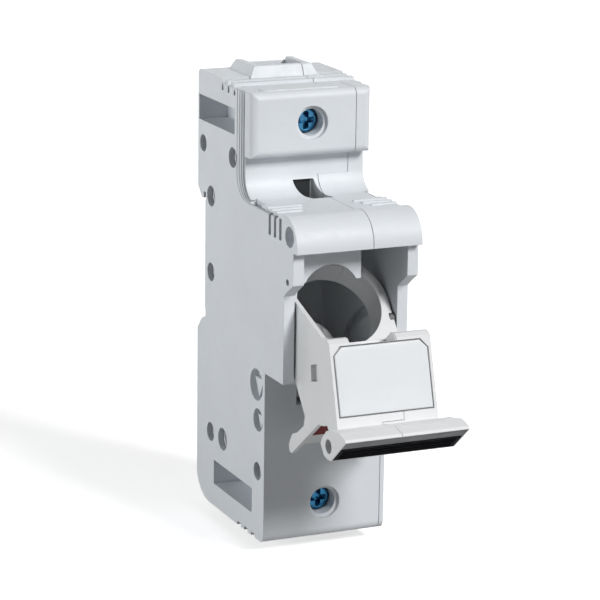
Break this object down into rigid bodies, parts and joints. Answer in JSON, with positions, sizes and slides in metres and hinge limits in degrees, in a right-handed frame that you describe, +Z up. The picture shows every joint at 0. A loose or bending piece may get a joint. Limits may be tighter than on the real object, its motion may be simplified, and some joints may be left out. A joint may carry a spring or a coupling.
{
  "type": "fuse switch disconnector",
  "caption": "Rail-mounted housing for a cylindrical fuse link, with a swing-out fuse carrier, screw clamps at both ends and a sliding rail latch",
  "frame": {"origin": "Middle of the flat floor of the rail seat, on the centre line of the mounting rail", "axes": "X is the width, +X the right side seen from the front; -Y is the front with the carrier, +Y points to the rail; +Z is up"},
  "size_m": [0.036, 0.0994, 0.1257],
  "materials": {
    "housing_plastic": "moulded light grey, fine satin grain",
    "carrier_plastic": "moulded pale grey, satin",
    "insert_plastic": "smooth white",
    "dark_plastic": "dark grey, ribbed",
    "red_lens": "dark red, clear",
    "circuit_board": "coated board",
    "tinned_copper": "tin plated, soft sheen",
    "zinc_steel": "blue zinc plating",
    "spring_steel": "bright spring steel",
    "rivet_steel": "bright steel"
  },
  "bodies": {
    "housing": {"housing_left": "housing_plastic", "housing_right": "housing_plastic", "housing_rivets": "rivet_steel", "upper_contact": "tinned_copper", "lower_contact": "tinned_copper", "upper_contact_spring": "spring_steel", "lower_contact_spring": "spring_steel", "latch_spring": "spring_steel"},
    "carrier": {"carrier_left": "carrier_plastic", "carrier_right": "carrier_plastic", "guide_pins": "rivet_steel", "marking_insert": "insert_plastic", "grip_plate": "dark_plastic", "indicator_lens": "red_lens", "indicator_board": "circuit_board", "indicator_leads": "tinned_copper"},
    "upper_cage": {"upper_clamp_cage": "zinc_steel"},
    "lower_cage": {"lower_clamp_cage": "zinc_steel"},
    "upper_screw": {"upper_clamp_screw": "zinc_steel"},
    "lower_screw": {"lower_clamp_screw": "zinc_steel"},
    "latch": {"rail_latch": "housing_plastic"}
  },
  "joints": [
    {"name": "carrier_swing", "type": "hinge", "parent": "housing", "child": "carrier", "pos_m": [0, -0.048, -0.038], "axis": [-1, 0, 0], "range_deg": [0, 50]},
    {"name": "upper_screw_turn", "type": "hinge", "parent": "housing", "child": "upper_screw", "pos_m": [0, -0.02, 0.0416], "axis": [0, 1, 0], "range_deg": [0, 2025]},
    {"name": "upper_cage_slide", "type": "slide", "parent": "housing", "child": "upper_cage", "axis": [0, -1, 0], "range_m": [0, 0.0045]},
    {"name": "lower_screw_turn", "type": "hinge", "parent": "housing", "child": "lower_screw", "pos_m": [0, -0.03, -0.0616], "axis": [0, 1, 0], "range_deg": [0, 2025]},
    {"name": "lower_cage_slide", "type": "slide", "parent": "housing", "child": "lower_cage", "axis": [0, -1, 0], "range_m": [0, 0.0045]},
    {"name": "latch_slide", "type": "slide", "parent": "housing", "child": "latch", "axis": [0, 0, -1], "range_m": [0, 0.003], "stiffness_N_per_m": 1200, "springref_m": -0.002, "deforming": ["latch_spring"]}
  ],
  "couplings": [
    {"joint": "upper_screw_turn", "follows": "upper_cage_slide", "rad_per_m": 7853.9},
    {"joint": "lower_screw_turn", "follows": "lower_cage_slide", "rad_per_m": 7853.9}
  ]
}
